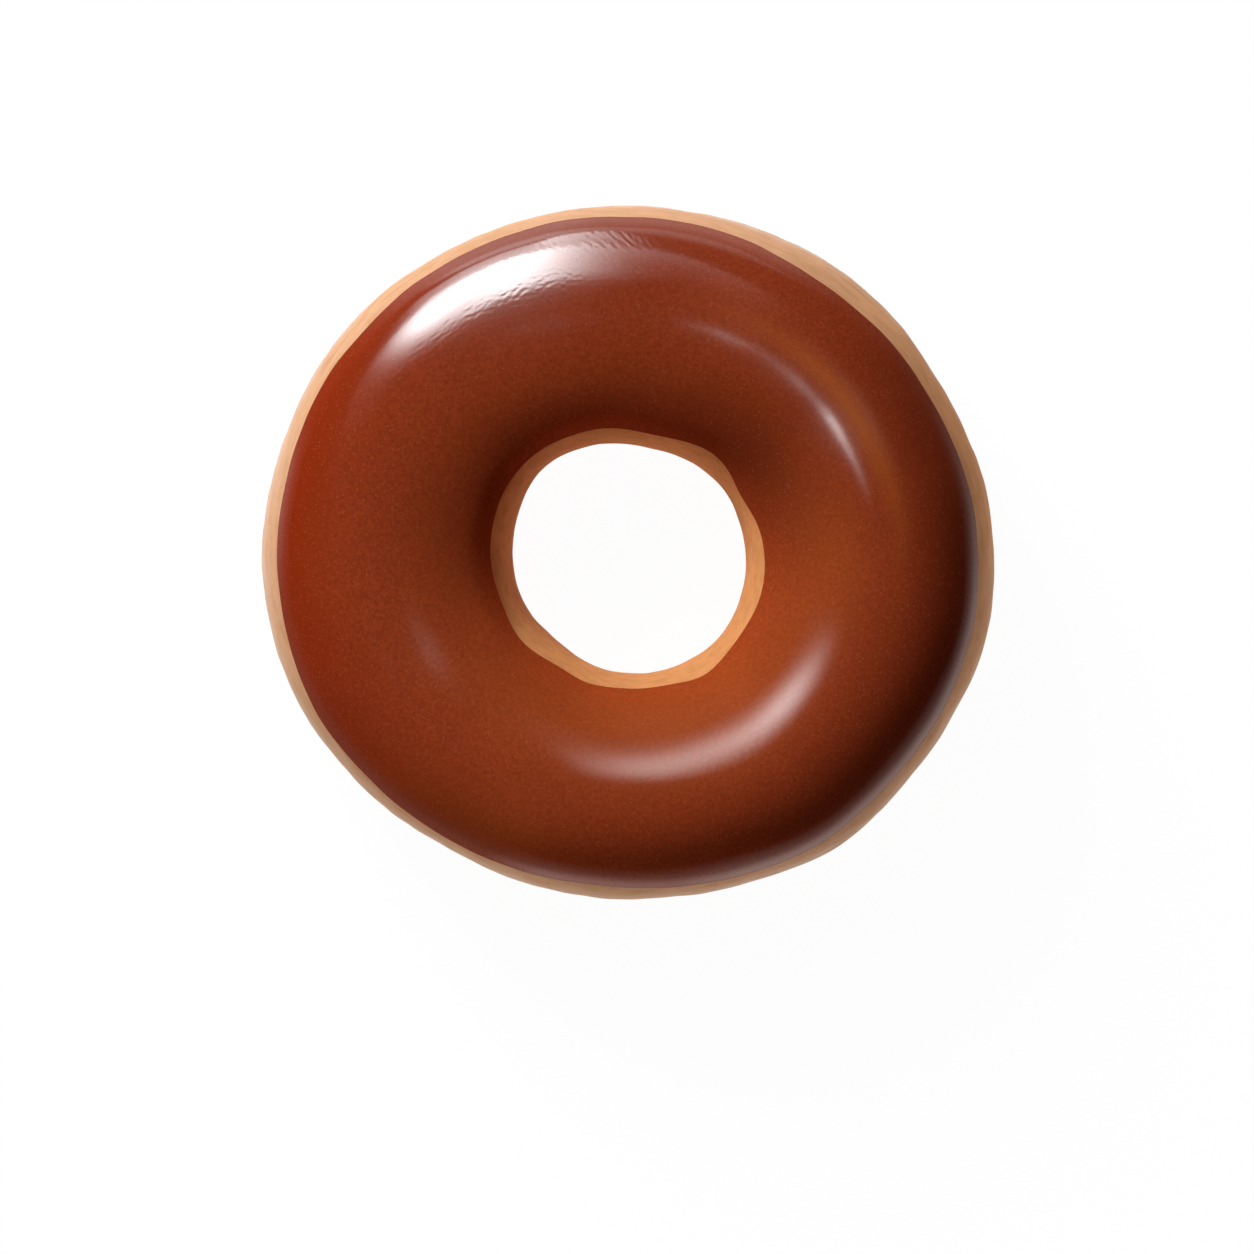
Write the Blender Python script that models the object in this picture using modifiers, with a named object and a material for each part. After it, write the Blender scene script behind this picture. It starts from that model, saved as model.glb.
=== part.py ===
"""Ring doughnut: a fried dough ring with a coat of chocolate icing over its top.

Run it with: blender --background --python part.py
Metres, +Z up. The origin is on the table under the middle of the ring, and the ring is longest along X.
"""

import math

import bmesh
import bpy
import numpy as np

MM = 0.001

# The ring and its hole from above are two ovals, each turned a little
RING_HALF_LENGTH = 44.9 * MM
RING_HALF_WIDTH = 42.5 * MM
RING_TURN = -9.0
RING_CENTRE = (0.04 * MM, 0.03 * MM)
HOLE_HALF_LENGTH = 14.5 * MM
HOLE_HALF_WIDTH = 13.9 * MM
HOLE_TURN = -45.0
HOLE_CENTRE = (0.1 * MM, -0.6 * MM)

# The section through the ring, from its flat foot up to the crown of the dough
WAIST_HEIGHT = 13.4 * MM
CROWN_ABOVE_WAIST = 15.4 * MM
BELLY_BELOW_WAIST = 15.2 * MM
FOOT_ROUNDING = 1.2 * MM
SECTION_FULLNESS = 0.04
CROWN_SHIFT = 0.17
SHIFT_POWER = 4.0

# The icing lies on the dough between two edges, each given as degrees up the section from the waist
ICING_THICKNESS = 1.1 * MM
ICING_GAP = 0.3 * MM
ICING_LIP_SHARE = 0.5
ICING_LIP_ROUNDING = 0.2 * MM
ICING_LIP_SEGMENTS = 2
ICING_LIP_CORNER = 50.0
ICING_OUTER_EDGE = 37.6
ICING_INNER_EDGE = 34.0

# Uneven places round the ring: degrees anticlockwise from +X, how much is added there, half-width in degrees
RING_SWELLS = (
    (25, -0.55 * MM, 9),
    (55, 0.15 * MM, 9),
    (120, -0.3 * MM, 16),
    (162, -0.35 * MM, 8),
    (200, 0.4 * MM, 14),
    (240, -0.3 * MM, 8),
    (304, 0.65 * MM, 8),
    (328, -0.2 * MM, 8),
    (345, 0.25 * MM, 8),
)
HOLE_SWELLS = (
    (30, 0.25 * MM, 9),
    (78, -0.55 * MM, 14),
    (138, 0.55 * MM, 13),
    (232, -0.45 * MM, 14),
    (310, 0.1 * MM, 12),
)
CROWN_SWELLS = (
    (60, 0.4 * MM, 30),
    (170, -0.3 * MM, 35),
    (300, 0.2 * MM, 25),
)
OUTER_EDGE_SWELLS = (
    (20, 3.0, 20),
    (52, 7.0, 12),
    (110, -2.0, 16),
    (118, 12.2, 28),
    (140, 1.5, 7),
    (185, 1.5, 12),
    (207, -2.0, 8),
    (238, -4.5, 16),
    (266, 2.5, 8),
    (285, -3.5, 12),
    (330, -2.5, 7),
    (348, 1.5, 12),
)
INNER_EDGE_SWELLS = (
    (28, -4.0, 8),
    (50, 2.0, 9),
    (90, -1.7, 25),
    (172, 3.8, 20),
    (223, 5.2, 12),
    (252, 1.8, 7),
    (300, 2.5, 7),
    (345, 1.2, 12),
)

# On one side the section has a boxier shoulder: it is fuller, and its crown shift sets in lower down
FULLNESS_SWELLS = ((118, 0.16, 30),)
SHIFT_POWER_SWELLS = ((118, -2.2, 30),)

# Both pieces start as a guide torus, divided this finely round the ring and round its section
RING_STEPS = 90
DOUGH_SECTION_STEPS = 32
ICING_SECTION_STEPS = 14
GUIDE_RADIUS = 30.0 * MM
GUIDE_SECTION_RADIUS = 15.0 * MM
GUIDE_TOLERANCE = 0.01 * MM

DOUGH_COLOUR = (0.72, 0.4, 0.23, 1.0)
DOUGH_ROUGHNESS = 0.6
ICING_COLOUR = (0.24, 0.033, 0.009, 1.0)
ICING_ROUGHNESS = 0.3
ICING_COAT = 0.5


def clear_scene():
    for obj in list(bpy.data.objects):
        bpy.data.objects.remove(obj, do_unlink=True)


def plain_material(name, colour, roughness, coat):
    material = bpy.data.materials.new(name)
    material.use_nodes = True
    shader = material.node_tree.nodes["Principled BSDF"]
    shader.inputs["Base Color"].default_value = colour
    shader.inputs["Roughness"].default_value = roughness
    shader.inputs["Metallic"].default_value = 0.0
    shader.inputs["Coat Weight"].default_value = coat
    return material


def swelling(around, swells):
    """The sum of soft bumps round the ring, each a bell about its own angle that also joins up past 360 degrees."""
    total = np.zeros_like(around)
    for place, amount, half_width in swells:
        away = np.cos(around - math.radians(place)) - 1
        total += amount * np.exp(away / math.radians(half_width) ** 2)
    return total


def oval_reach(around, half_length, half_width, turn, centre):
    """How far a level ray from the origin runs before it meets an oval, from the oval's own quadratic equation."""
    turn = math.radians(turn)
    along = np.cos(around - turn) / half_length
    across = np.sin(around - turn) / half_width
    start_along = (centre[0] * math.cos(turn) + centre[1] * math.sin(turn)) / half_length
    start_across = (centre[1] * math.cos(turn) - centre[0] * math.sin(turn)) / half_width
    square = along**2 + across**2
    middle = along * start_along + across * start_across
    rest = start_along**2 + start_across**2 - 1
    return (middle + np.sqrt(middle**2 - square * rest)) / square


def soft_floor(height):
    """Flattens what would sink below the table, with a rounded turn into the flat foot."""
    rounded = (height + FOOT_ROUNDING) ** 2 / (4 * FOOT_ROUNDING)
    foot = np.where(height < -FOOT_ROUNDING, 0.0, rounded)
    return np.where(height > FOOT_ROUNDING, height, foot)


def dough_surface(around, up):
    """The dough's surface at an angle round the ring and an angle up its section, as an array of points.

    The section runs between the hole and the outline at its waist. It is an ellipse made a little fuller, whose
    crown leans outwards, and its lower half ends in the flat foot.
    """
    outline = oval_reach(around, RING_HALF_LENGTH, RING_HALF_WIDTH, RING_TURN, RING_CENTRE)
    outline += swelling(around, RING_SWELLS)
    hole = oval_reach(around, HOLE_HALF_LENGTH, HOLE_HALF_WIDTH, HOLE_TURN, HOLE_CENTRE)
    hole += swelling(around, HOLE_SWELLS)

    cos_up = np.cos(up)
    sin_up = np.sin(up)
    fullness = SECTION_FULLNESS + swelling(around, FULLNESS_SWELLS)
    shift_power = SHIFT_POWER + swelling(around, SHIFT_POWER_SWELLS)
    outwards = cos_up * (1 + fullness * sin_up**2)
    outwards += CROWN_SHIFT * np.maximum(sin_up, 0) ** shift_power
    reach = (outline + hole) / 2 + (outline - hole) / 2 * outwards

    crown = CROWN_ABOVE_WAIST + swelling(around, CROWN_SWELLS)
    upper = WAIST_HEIGHT + crown * sin_up * (1 + fullness * cos_up**2)
    lower = soft_floor(WAIST_HEIGHT + BELLY_BELOW_WAIST * sin_up)
    height = np.where(sin_up > 0, upper, lower)
    return np.stack([reach * np.cos(around), reach * np.sin(around), height], axis=1)


def add_guide_torus(name, section_steps):
    """A plain torus, whose two angles then place every point of the doughnut."""
    bpy.ops.mesh.primitive_torus_add(
        major_segments=RING_STEPS,
        minor_segments=section_steps,
        major_radius=GUIDE_RADIUS,
        minor_radius=GUIDE_SECTION_RADIUS,
    )
    torus = bpy.context.object
    torus.name = name
    torus.data.name = name
    return torus


def guide_angles(mesh):
    """The angle round the ring and the angle up the section of each point of a guide torus."""
    points = np.empty(len(mesh.vertices) * 3)
    mesh.vertices.foreach_get("co", points)
    x, y, z = points.reshape(-1, 3).T
    return np.arctan2(y, x), np.arctan2(z, np.hypot(x, y) - GUIDE_RADIUS)


def place_points(mesh, points):
    mesh.vertices.foreach_set("co", points.ravel())
    mesh.update()


def move_to(obj, collection):
    for holder in list(obj.users_collection):
        holder.objects.unlink(obj)
    collection.objects.link(obj)


def make_dough_ring(collection):
    ring = add_guide_torus("dough_ring", DOUGH_SECTION_STEPS)
    around, up = guide_angles(ring.data)
    place_points(ring.data, dough_surface(around, up))
    ring.data.shade_smooth()
    ring.data.materials.append(plain_material("fried dough", DOUGH_COLOUR, DOUGH_ROUGHNESS, coat=0.0))
    move_to(ring, collection)
    return ring


def remove_lower_half(mesh):
    """Leaves the upper half of a guide torus as an open sheet, from its outer rim over the crown to its inner rim."""
    half = bmesh.new()
    half.from_mesh(mesh)
    below = [vert for vert in half.verts if vert.co.z < -GUIDE_TOLERANCE]
    bmesh.ops.delete(half, geom=below, context="VERTS")
    half.to_mesh(mesh)
    half.free()


def icing_angles(around, up):
    """Draws the half circle of the sheet in to the icing's two edges, which wander up and down round the ring."""
    outer = np.radians(ICING_OUTER_EDGE + swelling(around, OUTER_EDGE_SWELLS))
    inner = math.pi - np.radians(ICING_INNER_EDGE + swelling(around, INNER_EDGE_SWELLS))
    return outer + (inner - outer) * up / math.pi


def weigh_thickness(sheet, up):
    """A vertex group that says how thick the icing is at each point: full over the crown, thinner at both lips."""
    group = sheet.vertex_groups.new(name="thickness")
    steps_from_lip = np.round(np.minimum(up, math.pi - up) / (math.pi / ICING_SECTION_STEPS))
    for step, share in ((0, ICING_LIP_SHARE), (1, (1 + ICING_LIP_SHARE) / 2)):
        ring = np.flatnonzero(steps_from_lip == step).tolist()
        group.add(ring, share, "REPLACE")
    group.add(np.flatnonzero(steps_from_lip > 1).tolist(), 1.0, "REPLACE")
    return group


def make_icing(collection):
    sheet = add_guide_torus("chocolate_icing", 2 * ICING_SECTION_STEPS)
    remove_lower_half(sheet.data)
    around, up = guide_angles(sheet.data)
    up = np.clip(up, 0, math.pi)
    place_points(sheet.data, dough_surface(around, icing_angles(around, up)))
    group = weigh_thickness(sheet, up)

    lift = sheet.modifiers.new("clear of the dough", "DISPLACE")
    lift.strength = ICING_GAP
    lift.mid_level = 0.0

    shell = sheet.modifiers.new("icing thickness", "SOLIDIFY")
    shell.thickness = ICING_THICKNESS
    shell.offset = 1.0
    shell.vertex_group = group.name

    lips = sheet.modifiers.new("rounded lips", "BEVEL")
    lips.width = ICING_LIP_ROUNDING
    lips.segments = ICING_LIP_SEGMENTS
    lips.limit_method = "ANGLE"
    lips.angle_limit = math.radians(ICING_LIP_CORNER)

    sheet.data.shade_smooth()
    sheet.data.materials.append(plain_material("chocolate icing", ICING_COLOUR, ICING_ROUGHNESS, ICING_COAT))
    move_to(sheet, collection)
    return sheet


def main():
    clear_scene()
    doughnut = bpy.data.collections.new("ring doughnut")
    bpy.context.scene.collection.children.link(doughnut)
    make_dough_ring(doughnut)
    make_icing(doughnut)


main()
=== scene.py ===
"""The looks of a ring doughnut: fried dough with a glossy coat of chocolate icing, on a pale studio floor.

Both pieces are surfaces worked out from the same section as the solids, with a much finer grid, and they
stand for those solids in the picture.
"""

import math

import bpy
import numpy as np
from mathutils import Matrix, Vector


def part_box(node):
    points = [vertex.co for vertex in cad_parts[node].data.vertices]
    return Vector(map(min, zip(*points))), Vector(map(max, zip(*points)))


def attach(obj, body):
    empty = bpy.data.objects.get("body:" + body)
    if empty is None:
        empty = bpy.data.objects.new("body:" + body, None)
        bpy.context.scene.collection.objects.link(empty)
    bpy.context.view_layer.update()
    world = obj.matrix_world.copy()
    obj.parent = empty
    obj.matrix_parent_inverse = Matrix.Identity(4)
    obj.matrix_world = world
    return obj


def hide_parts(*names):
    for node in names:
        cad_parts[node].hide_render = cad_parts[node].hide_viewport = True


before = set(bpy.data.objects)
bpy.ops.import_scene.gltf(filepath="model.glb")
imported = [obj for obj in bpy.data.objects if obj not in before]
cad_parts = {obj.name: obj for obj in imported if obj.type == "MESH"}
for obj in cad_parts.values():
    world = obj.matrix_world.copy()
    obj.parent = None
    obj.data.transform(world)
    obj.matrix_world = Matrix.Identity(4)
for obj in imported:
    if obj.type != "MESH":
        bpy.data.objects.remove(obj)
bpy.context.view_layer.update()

bl_info = {
    "name": "Ring Doughnut",
    "version": (1, 0, 0),
    "blender": (4, 5, 0),
    "location": "View3D > Sidebar > Doughnut",
    "description": "Makes a fried ring doughnut with chocolate icing, and a plain studio for it",
    "category": "Add Mesh",
}

MM = 0.001

# The dough ring's lowest and highest corner in the frame, which place the floor, the lamps and the camera
RING_LOW, RING_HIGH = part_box("dough_ring")

# Uneven places round the ring: degrees anticlockwise from +X, how much is added there, half-width in degrees.
# The edges' amounts are degrees too, up the section
RING_SWELLS = (
    (25, -0.55 * MM, 9), (55, 0.15 * MM, 9), (120, -0.3 * MM, 16),
    (162, -0.35 * MM, 8), (200, 0.4 * MM, 14), (240, -0.3 * MM, 8),
    (304, 0.65 * MM, 8), (328, -0.2 * MM, 8), (345, 0.25 * MM, 8),
)
HOLE_SWELLS = (
    (30, 0.25 * MM, 9), (78, -0.55 * MM, 14), (138, 0.55 * MM, 13),
    (232, -0.45 * MM, 14), (310, 0.1 * MM, 12),
)
CROWN_SWELLS = ((60, 0.4 * MM, 30), (170, -0.3 * MM, 35), (300, 0.2 * MM, 25))
OUTER_EDGE_SWELLS = (
    (20, 3.0, 20), (52, 7.0, 12), (110, -2.0, 16), (118, 12.2, 28),
    (140, 1.5, 7), (185, 1.5, 12), (207, -2.0, 8), (238, -4.5, 16),
    (266, 2.5, 8), (285, -3.5, 12), (330, -2.5, 7), (348, 1.5, 12),
)
INNER_EDGE_SWELLS = (
    (28, -4.0, 8), (50, 2.0, 9), (90, -1.7, 25), (172, 3.8, 20),
    (223, 5.2, 12), (252, 1.8, 7), (300, 2.5, 7), (345, 1.2, 12),
)

# The middles of the outline and of the hole, the section's shape, and the stretch where it is boxier
RING_CENTRE = (0.04 * MM, 0.03 * MM)
HOLE_CENTRE = (0.1 * MM, -0.6 * MM)
SECTION_FULLNESS = 0.04
FULLNESS_SWELLS = ((118, 0.16, 30),)
CROWN_SHIFT = 0.17
SHIFT_POWER = 4.0
SHIFT_POWER_SWELLS = ((118, -2.2, 30),)

# Fine wobbles of the icing's edges: how high in degrees, how many waves round the ring, and where they start
OUTER_EDGE_WOBBLES = ((0.25, 13, 0.6), (0.2, 23, 2.1), (0.12, 41, 0))
INNER_EDGE_WOBBLES = ((0.3, 7, 1.9), (0.15, 12, 0.3))

# How each surface wanders: the share, the length and the seed of each set of waves in it
DOUGH_WANDER = ((0.7, 11 * MM, 3), (0.3, 3.5 * MM, 4))
ICING_WANDER = ((0.85, 14 * MM, 11), (0.15, 5 * MM, 12))

# The shortest and the longest wave in a set, as shares of its length
WAVE_SPREAD = (0.7, 1.5)
FINE_WAVE_SPREAD = (0.7, 1.9)

# The icing thins towards each lip over this far. Its underside sinks this deep into the dough, and reaches
# that depth within one part in this many of the way from lip to lip
LIP_EASE = 4 * MM
UNDER_DEPTH = -0.15 * MM
UNDER_EASE = 12

# How finely the two surfaces are divided
DOUGH_RING_STEPS = 400
DOUGH_SECTION_STEPS = 180
ICING_RING_STEPS = 540
ICING_TOP_STEPS = 160
ICING_UNDER_STEPS = 22
CROWDING_SAMPLES = 4001

# How much closer together the icing's points lie at its lips and where it is rippled. Its section runs from 0
# at the outer lip to 1 at the inner one
RIPPLED_STRETCH = ((114, 4.5, 28),)
LIP_CROWDING = 5
LIP_CROWDING_WIDTH = 0.012
RIPPLED_CROWDING = 1.6
RIPPLED_MIDDLE = 0.18
RIPPLED_WIDTH = 0.14

# Where the icing set smoothest; where it is painted lighter and warmer as painted light, on slopes that face
# the light and on a lit band near the crown; where it is painted darker as painted shade, on slopes turned
# from the light, in the shadow cast beside the hole, and under the main highlight so that it shows whiter;
# where it ran down the side and set clearer; and where the dough's crust is browner, on the side towards +X.
# Each patch is given as its place round the ring, its place up the section, its half-width both ways, all in
# degrees, and its strength
GLOSSY_PATCHES = (
    (114.5, 56, 10, 22, 1.0), (131, 69.5, 5, 4, 0.6),
    (94, 48, 24, 9, 0.6), (31, 97, 7, 7, 0.8),
    (47, 97, 4, 6, 0.2), (57, 97, 13, 6, 0.28),
    (178, 38, 16, 5, 0.35), (206, 104, 6, 6, 0.16),
    (276, 106.3, 12, 3.9, 0.12), (300, 108.8, 12, 3.9, 0.13),
    (318, 109, 9, 3.3, 0.2), (255, 40, 60, 8, 0.5),
    (330, 38, 40, 7, 0.45), (20, 34, 40, 6, 0.35),
)
# Painted light: the icing is painted lighter and warmer here, where light falls on it
PAINTED_LIGHT_PATCHES = (
    (33, 87, 18, 3.4, 0.55), (285, 128, 55, 20, 0.3),
    (358, 112, 14, 8, 0.12), (240, 60, 14, 15, 0.2),
)
# Painted shade: the icing is painted darker where it is turned from the light, in a cast shadow, and under
# the main highlight
PAINTED_SHADE_PATCHES = (
    (355, 52, 36, 26, 0.95), (300, 75, 24, 16, 0.3),
    (38, 131, 24, 14, 0.95), (172, 125, 22, 16, 0.3),
    (108, 62, 22, 20, 0.5),
)
CLEAR_PATCHES = ((172, 50, 38, 18, 0.9),)
BROWNER_SIDE_PATCHES = ((18, 20, 24, 26, 0.85),)

# The icing is dull at its outer lip, and reaches its full gloss this far from it
LIP_DULL_WIDTH = 0.9 * MM

# Fine ripples in the smoothest patch, each set as its place and its half-width both ways, all in degrees,
# then how high the ripples are, their length, and the least and most that they turn from lying along the
# ring, in degrees
RIPPLE_SETS = (
    (116, 77, 26, 7, 0.0045 * MM, 0.42 * MM, -30, 25),
    (96, 69, 9, 11, 0.008 * MM, 0.5 * MM, 30, 80),
)

# How far the fine ripples lie from the ring's axis
RIPPLE_REACH = 37 * MM

# The radius of the ring's middle line and of its section, for patterns that follow the ring, and how many
# times longer those patterns are round it than across it
RING_MIDDLE_REACH = 29 * MM
SECTION_REACH = 16 * MM
FLOW_STRETCH = 3.0

# The heights over which the dough's colour turns from fried to pale, from the waist's to the crust's, and
# gets its streaks, how far the first two wander, and how far from the ring's axis its hole turns browner
FRIED_HEIGHTS = (7.5 * MM, 13.0 * MM)
CRUST_HEIGHTS = (16.5 * MM, 22.0 * MM)
STREAK_HEIGHTS = (2.0 * MM, 5.0 * MM)
HEIGHT_WANDER = 2.5 * MM
HOLE_REACHES = (22 * MM, 19 * MM)

# How much of their own colour the strongest streak, spot, cloud and speck take, and how far specks lie apart
STREAK_SHARE = 0.28
SPOT_SHARE = 0.16
CLOUD_SHARE = 0.45
SPECK_SHARE = 0.22
SPECK_SPACING = 0.36 * MM

# The finer noise in the grain has this many grains for each of the coarser one
FINER_GRAIN = 3.1

# The photograph's width and the ring's, in its pixels, then the ring's real width and the width of the
# camera's sensor, in millimetres
PICTURE_PIXELS = 1254
RING_PIXELS = 735
RING_WIDTH_MM = 90
SENSOR_WIDTH = 36

# How bright the backdrop is to the camera, as light on surfaces, and in glossy surfaces
WORLD_SEEN = 0.98
WORLD_LIGHT = 0.07
WORLD_SHINE = 0.12

# The light that the floor casts near the ring and far from it
NEAR_BOUNCE = (1.5, 1.36, 1.22)
FAR_BOUNCE = (0.12, 0.11, 0.1)

# Two distances from the floor's middle between which its light changes, and the shares there where they are
# not 0 and 1: near the ring, at the edge of the pool of light, and in what it shines into the icing
NEAR_GROWTH = (0.02, 0.05, 0.6, 1.0)
POOL_EDGE = (0.07, 0.2)
SHEEN_GROWTH = (0.02, 0.08, 0.1, 1.0)

# What the floor shines into glossy surfaces: its tint, its brightness towards -X, and then its brightness at
# each of these shares of a turn from there
SHEEN_TINT = (1.0, 0.88, 0.82)
SHEEN_ENDS = 0.4
SHEEN_SIDES = (
    (0.02, 0.1), (0.18, 0.1), (0.21, 0.9), (0.27, 0.7), (0.3, 1.0), (0.42, 0.8),
    (0.48, 1.0), (0.55, 0.4), (0.58, 0.05), (0.64, 0.1), (0.67, 0.8), (0.73, 0.8),
    (0.78, 0.9), (0.87, 0.9), (0.9, 0.05), (0.94, 0.05), (0.96, 0.8), (0.98, 0.8),
)

# Each lamp's part, its place on the sky, its width and height as degrees of sky, how bright its face is, its
# colour. A "light" lamp only lights surfaces, and a "shine" lamp only shows as a highlight in glossy ones
LAMP_DISTANCE = 0.9
LAMPS = (
    ("key light", "light", 122, 34, 26, 26, 18.5, (0.97, 1.02, 1.07)),
    ("fill light", "light", 215, 30, 26, 26, 2.5, (1.0, 0.98, 0.96)),
    ("main shine", "shine", 111, 58, 58, 31, 16.0, (0.88, 0.98, 1.0)),
    ("soft shine", "shine", 112, 53, 44, 66, 0.35, (0.98, 0.99, 1.0)),
    ("edge shine", "shine", 117, 33, 26, 26, 2.6, (0.98, 0.99, 1.0)),
    ("low shine", "shine", 92, 2, 64, 34, 1.8, (1.0, 0.98, 0.96)),
    ("top shine", "shine", 95, 31, 14, 26, 8.0, (0.92, 0.98, 1.0)),
    ("spot shine", "shine", 33, 68, 14, 12, 2.0, (1.0, 0.97, 0.95)),
    ("streak shine", "shine", 216, 82.5, 4, 1.6, 36.0, (1.0, 0.97, 0.95)),
)


class DoughSettings(bpy.types.PropertyGroup):
    """The dough ring's sizes and colours."""

    half_length: bpy.props.FloatProperty(
        name="Half Length", description="Half the ring's width across its longer way",
        default=44.85 * MM, unit="LENGTH",
    )
    half_width: bpy.props.FloatProperty(
        name="Half Width", description="Half the ring's width across its shorter way",
        default=42.48 * MM, unit="LENGTH",
    )
    turn: bpy.props.FloatProperty(
        name="Turn", description="How far the ring's longer way is turned from +X",
        default=math.radians(-9), subtype="ANGLE",
    )
    hole_half_length: bpy.props.FloatProperty(
        name="Hole Half Length", description="Half the hole's width across its longer way",
        default=14.5 * MM, unit="LENGTH",
    )
    hole_half_width: bpy.props.FloatProperty(
        name="Hole Half Width", description="Half the hole's width across its shorter way",
        default=13.9 * MM, unit="LENGTH",
    )
    hole_turn: bpy.props.FloatProperty(
        name="Hole Turn", description="How far the hole's longer way is turned from +X",
        default=math.radians(-45), subtype="ANGLE",
    )
    waist_height: bpy.props.FloatProperty(
        name="Waist Height", description="The height at which the ring is widest",
        default=13.4 * MM, unit="LENGTH",
    )
    crown: bpy.props.FloatProperty(
        name="Crown", description="How far the dough rises above its waist",
        default=15.4 * MM, unit="LENGTH",
    )
    belly: bpy.props.FloatProperty(
        name="Belly", description="How far the dough would hang below its waist if it had no flat foot",
        default=15.2 * MM, unit="LENGTH",
    )
    foot_rounding: bpy.props.FloatProperty(
        name="Foot Rounding", description="The height over which the belly turns into the flat foot",
        default=1.2 * MM, unit="LENGTH",
    )
    unevenness: bpy.props.FloatProperty(
        name="Unevenness", description="How far the fried surface wanders in and out",
        default=0.07 * MM, unit="LENGTH",
    )
    crust_colour: bpy.props.FloatVectorProperty(
        name="Crust", description="The pale crust near the icing",
        default=(0.74, 0.40, 0.22), subtype="COLOR", min=0, max=1,
    )
    # The real pale waist band, painted a little lighter still as a painted sheen at the outline
    pale_waist_and_sheen_colour: bpy.props.FloatVectorProperty(
        name="Waist", description="The paler band round the waist, which floats clear of the hot oil",
        default=(0.79, 0.53, 0.39), subtype="COLOR", min=0, max=1,
    )
    fried_colour: bpy.props.FloatVectorProperty(
        name="Fried Side", description="The golden brown underside",
        default=(0.45, 0.19, 0.06), subtype="COLOR", min=0, max=1,
    )
    hole_colour: bpy.props.FloatVectorProperty(
        name="Hole Wall", description="The browner crust inside the hole",
        default=(0.76, 0.33, 0.115), subtype="COLOR", min=0, max=1,
    )
    # Makes the crust browner on the side towards +X
    browner_side_colour: bpy.props.FloatVectorProperty(
        name="Toasted Crust", description="The crust on the side that browned a little more",
        default=(0.76, 0.32, 0.115), subtype="COLOR", min=0, max=1,
    )


class IcingSettings(bpy.types.PropertyGroup):
    """The icing's sizes, colours and gloss."""

    thickness: bpy.props.FloatProperty(
        name="Thickness", description="How thick the icing is over the crown",
        default=1.36 * MM, unit="LENGTH",
    )
    lip_share: bpy.props.FloatProperty(
        name="Lip Share", description="The thickness at the lips, as a share of the thickness over the crown",
        default=0.6, subtype="FACTOR", min=0, max=1,
    )
    lip_rounding: bpy.props.FloatProperty(
        name="Lip Rounding", description="The width over which a lip rounds down to the dough",
        default=0.6 * MM, unit="LENGTH",
    )
    outer_edge: bpy.props.FloatProperty(
        name="Outer Edge",
        description="How far up the section from the waist the icing starts on the ring's outside",
        default=math.radians(36.0), subtype="ANGLE",
    )
    inner_edge: bpy.props.FloatProperty(
        name="Inner Edge",
        description="How far up the section from the waist the icing starts inside the hole",
        default=math.radians(32.6), subtype="ANGLE",
    )
    unevenness: bpy.props.FloatProperty(
        name="Unevenness", description="How far the set surface wanders up and down",
        default=0.03 * MM, unit="LENGTH",
    )
    colour: bpy.props.FloatVectorProperty(
        name="Chocolate", description="The icing's main colour",
        default=(0.43, 0.062, 0.0155), subtype="COLOR", min=0, max=1,
    )
    dark_colour: bpy.props.FloatVectorProperty(
        name="Dark Chocolate", description="The darker tone in the icing's mottling",
        default=(0.34, 0.045, 0.012), subtype="COLOR", min=0, max=1,
    )
    # Painted light: the lighter, warmer chocolate painted where light falls on the icing
    painted_light_colour: bpy.props.FloatVectorProperty(
        name="Thin Chocolate", description="The warmer colour where the icing is thin",
        default=(0.52, 0.12, 0.02), subtype="COLOR", min=0, max=1,
    )
    # Used both for the fine clouds of darker chocolate and as painted shade on the icing
    mottle_and_shade_colour: bpy.props.FloatVectorProperty(
        name="Thick Chocolate", description="The deep brown where the icing ran together thickest",
        default=(0.16, 0.020, 0.006), subtype="COLOR", min=0, max=1,
    )
    clear_colour: bpy.props.FloatVectorProperty(
        name="Clear Chocolate",
        description="The deeper red where the icing ran down the side and set clearer",
        default=(0.27, 0.022, 0.003), subtype="COLOR", min=0, max=1,
    )
    speck_colour: bpy.props.FloatVectorProperty(
        name="Specks", description="The tiny lighter specks in the icing",
        default=(0.62, 0.20, 0.09), subtype="COLOR", min=0, max=1,
    )
    smooth_roughness: bpy.props.FloatProperty(
        name="Roughness, Smooth", description="Roughness where the icing set smoothest",
        default=0.18, subtype="FACTOR", min=0, max=1,
    )
    dull_roughness: bpy.props.FloatProperty(
        name="Roughness, Dull", description="Roughness of the rest of the icing",
        default=0.22, subtype="FACTOR", min=0, max=1,
    )
    thin_coat: bpy.props.FloatProperty(
        name="Glaze, Dull", description="How much clear glaze lies over the rest of the icing",
        default=0.003, subtype="FACTOR", min=0, max=1,
    )


class StudioSettings(bpy.types.PropertyGroup):
    """The floor and the camera."""

    floor_size: bpy.props.FloatProperty(
        name="Floor Size", description="The side of the square floor",
        default=6.0, unit="LENGTH",
    )
    floor_colour: bpy.props.FloatVectorProperty(
        name="Floor", description="The pale floor",
        default=(0.04, 0.04, 0.04), subtype="COLOR", min=0, max=1,
    )
    floor_glow: bpy.props.FloatProperty(
        name="Floor Glow", description="How brightly the floor is lit from within, as a light table is",
        default=0.97, min=0,
    )
    camera_distance: bpy.props.FloatProperty(
        name="Camera Distance", description="From the camera down to the ring's waist",
        default=1.5, unit="LENGTH",
    )
    view_width: bpy.props.FloatProperty(
        name="View Width", description="How much the picture takes in at the ring's waist",
        default=PICTURE_PIXELS / RING_PIXELS * RING_WIDTH_MM * MM, unit="LENGTH",
    )
    picture_offset: bpy.props.FloatVectorProperty(
        name="Picture Offset", description="From the ring's middle to the picture's middle",
        default=(-0.18 * MM, -9.12 * MM), size=2, subtype="XYZ",
    )


# Shapes


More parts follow.
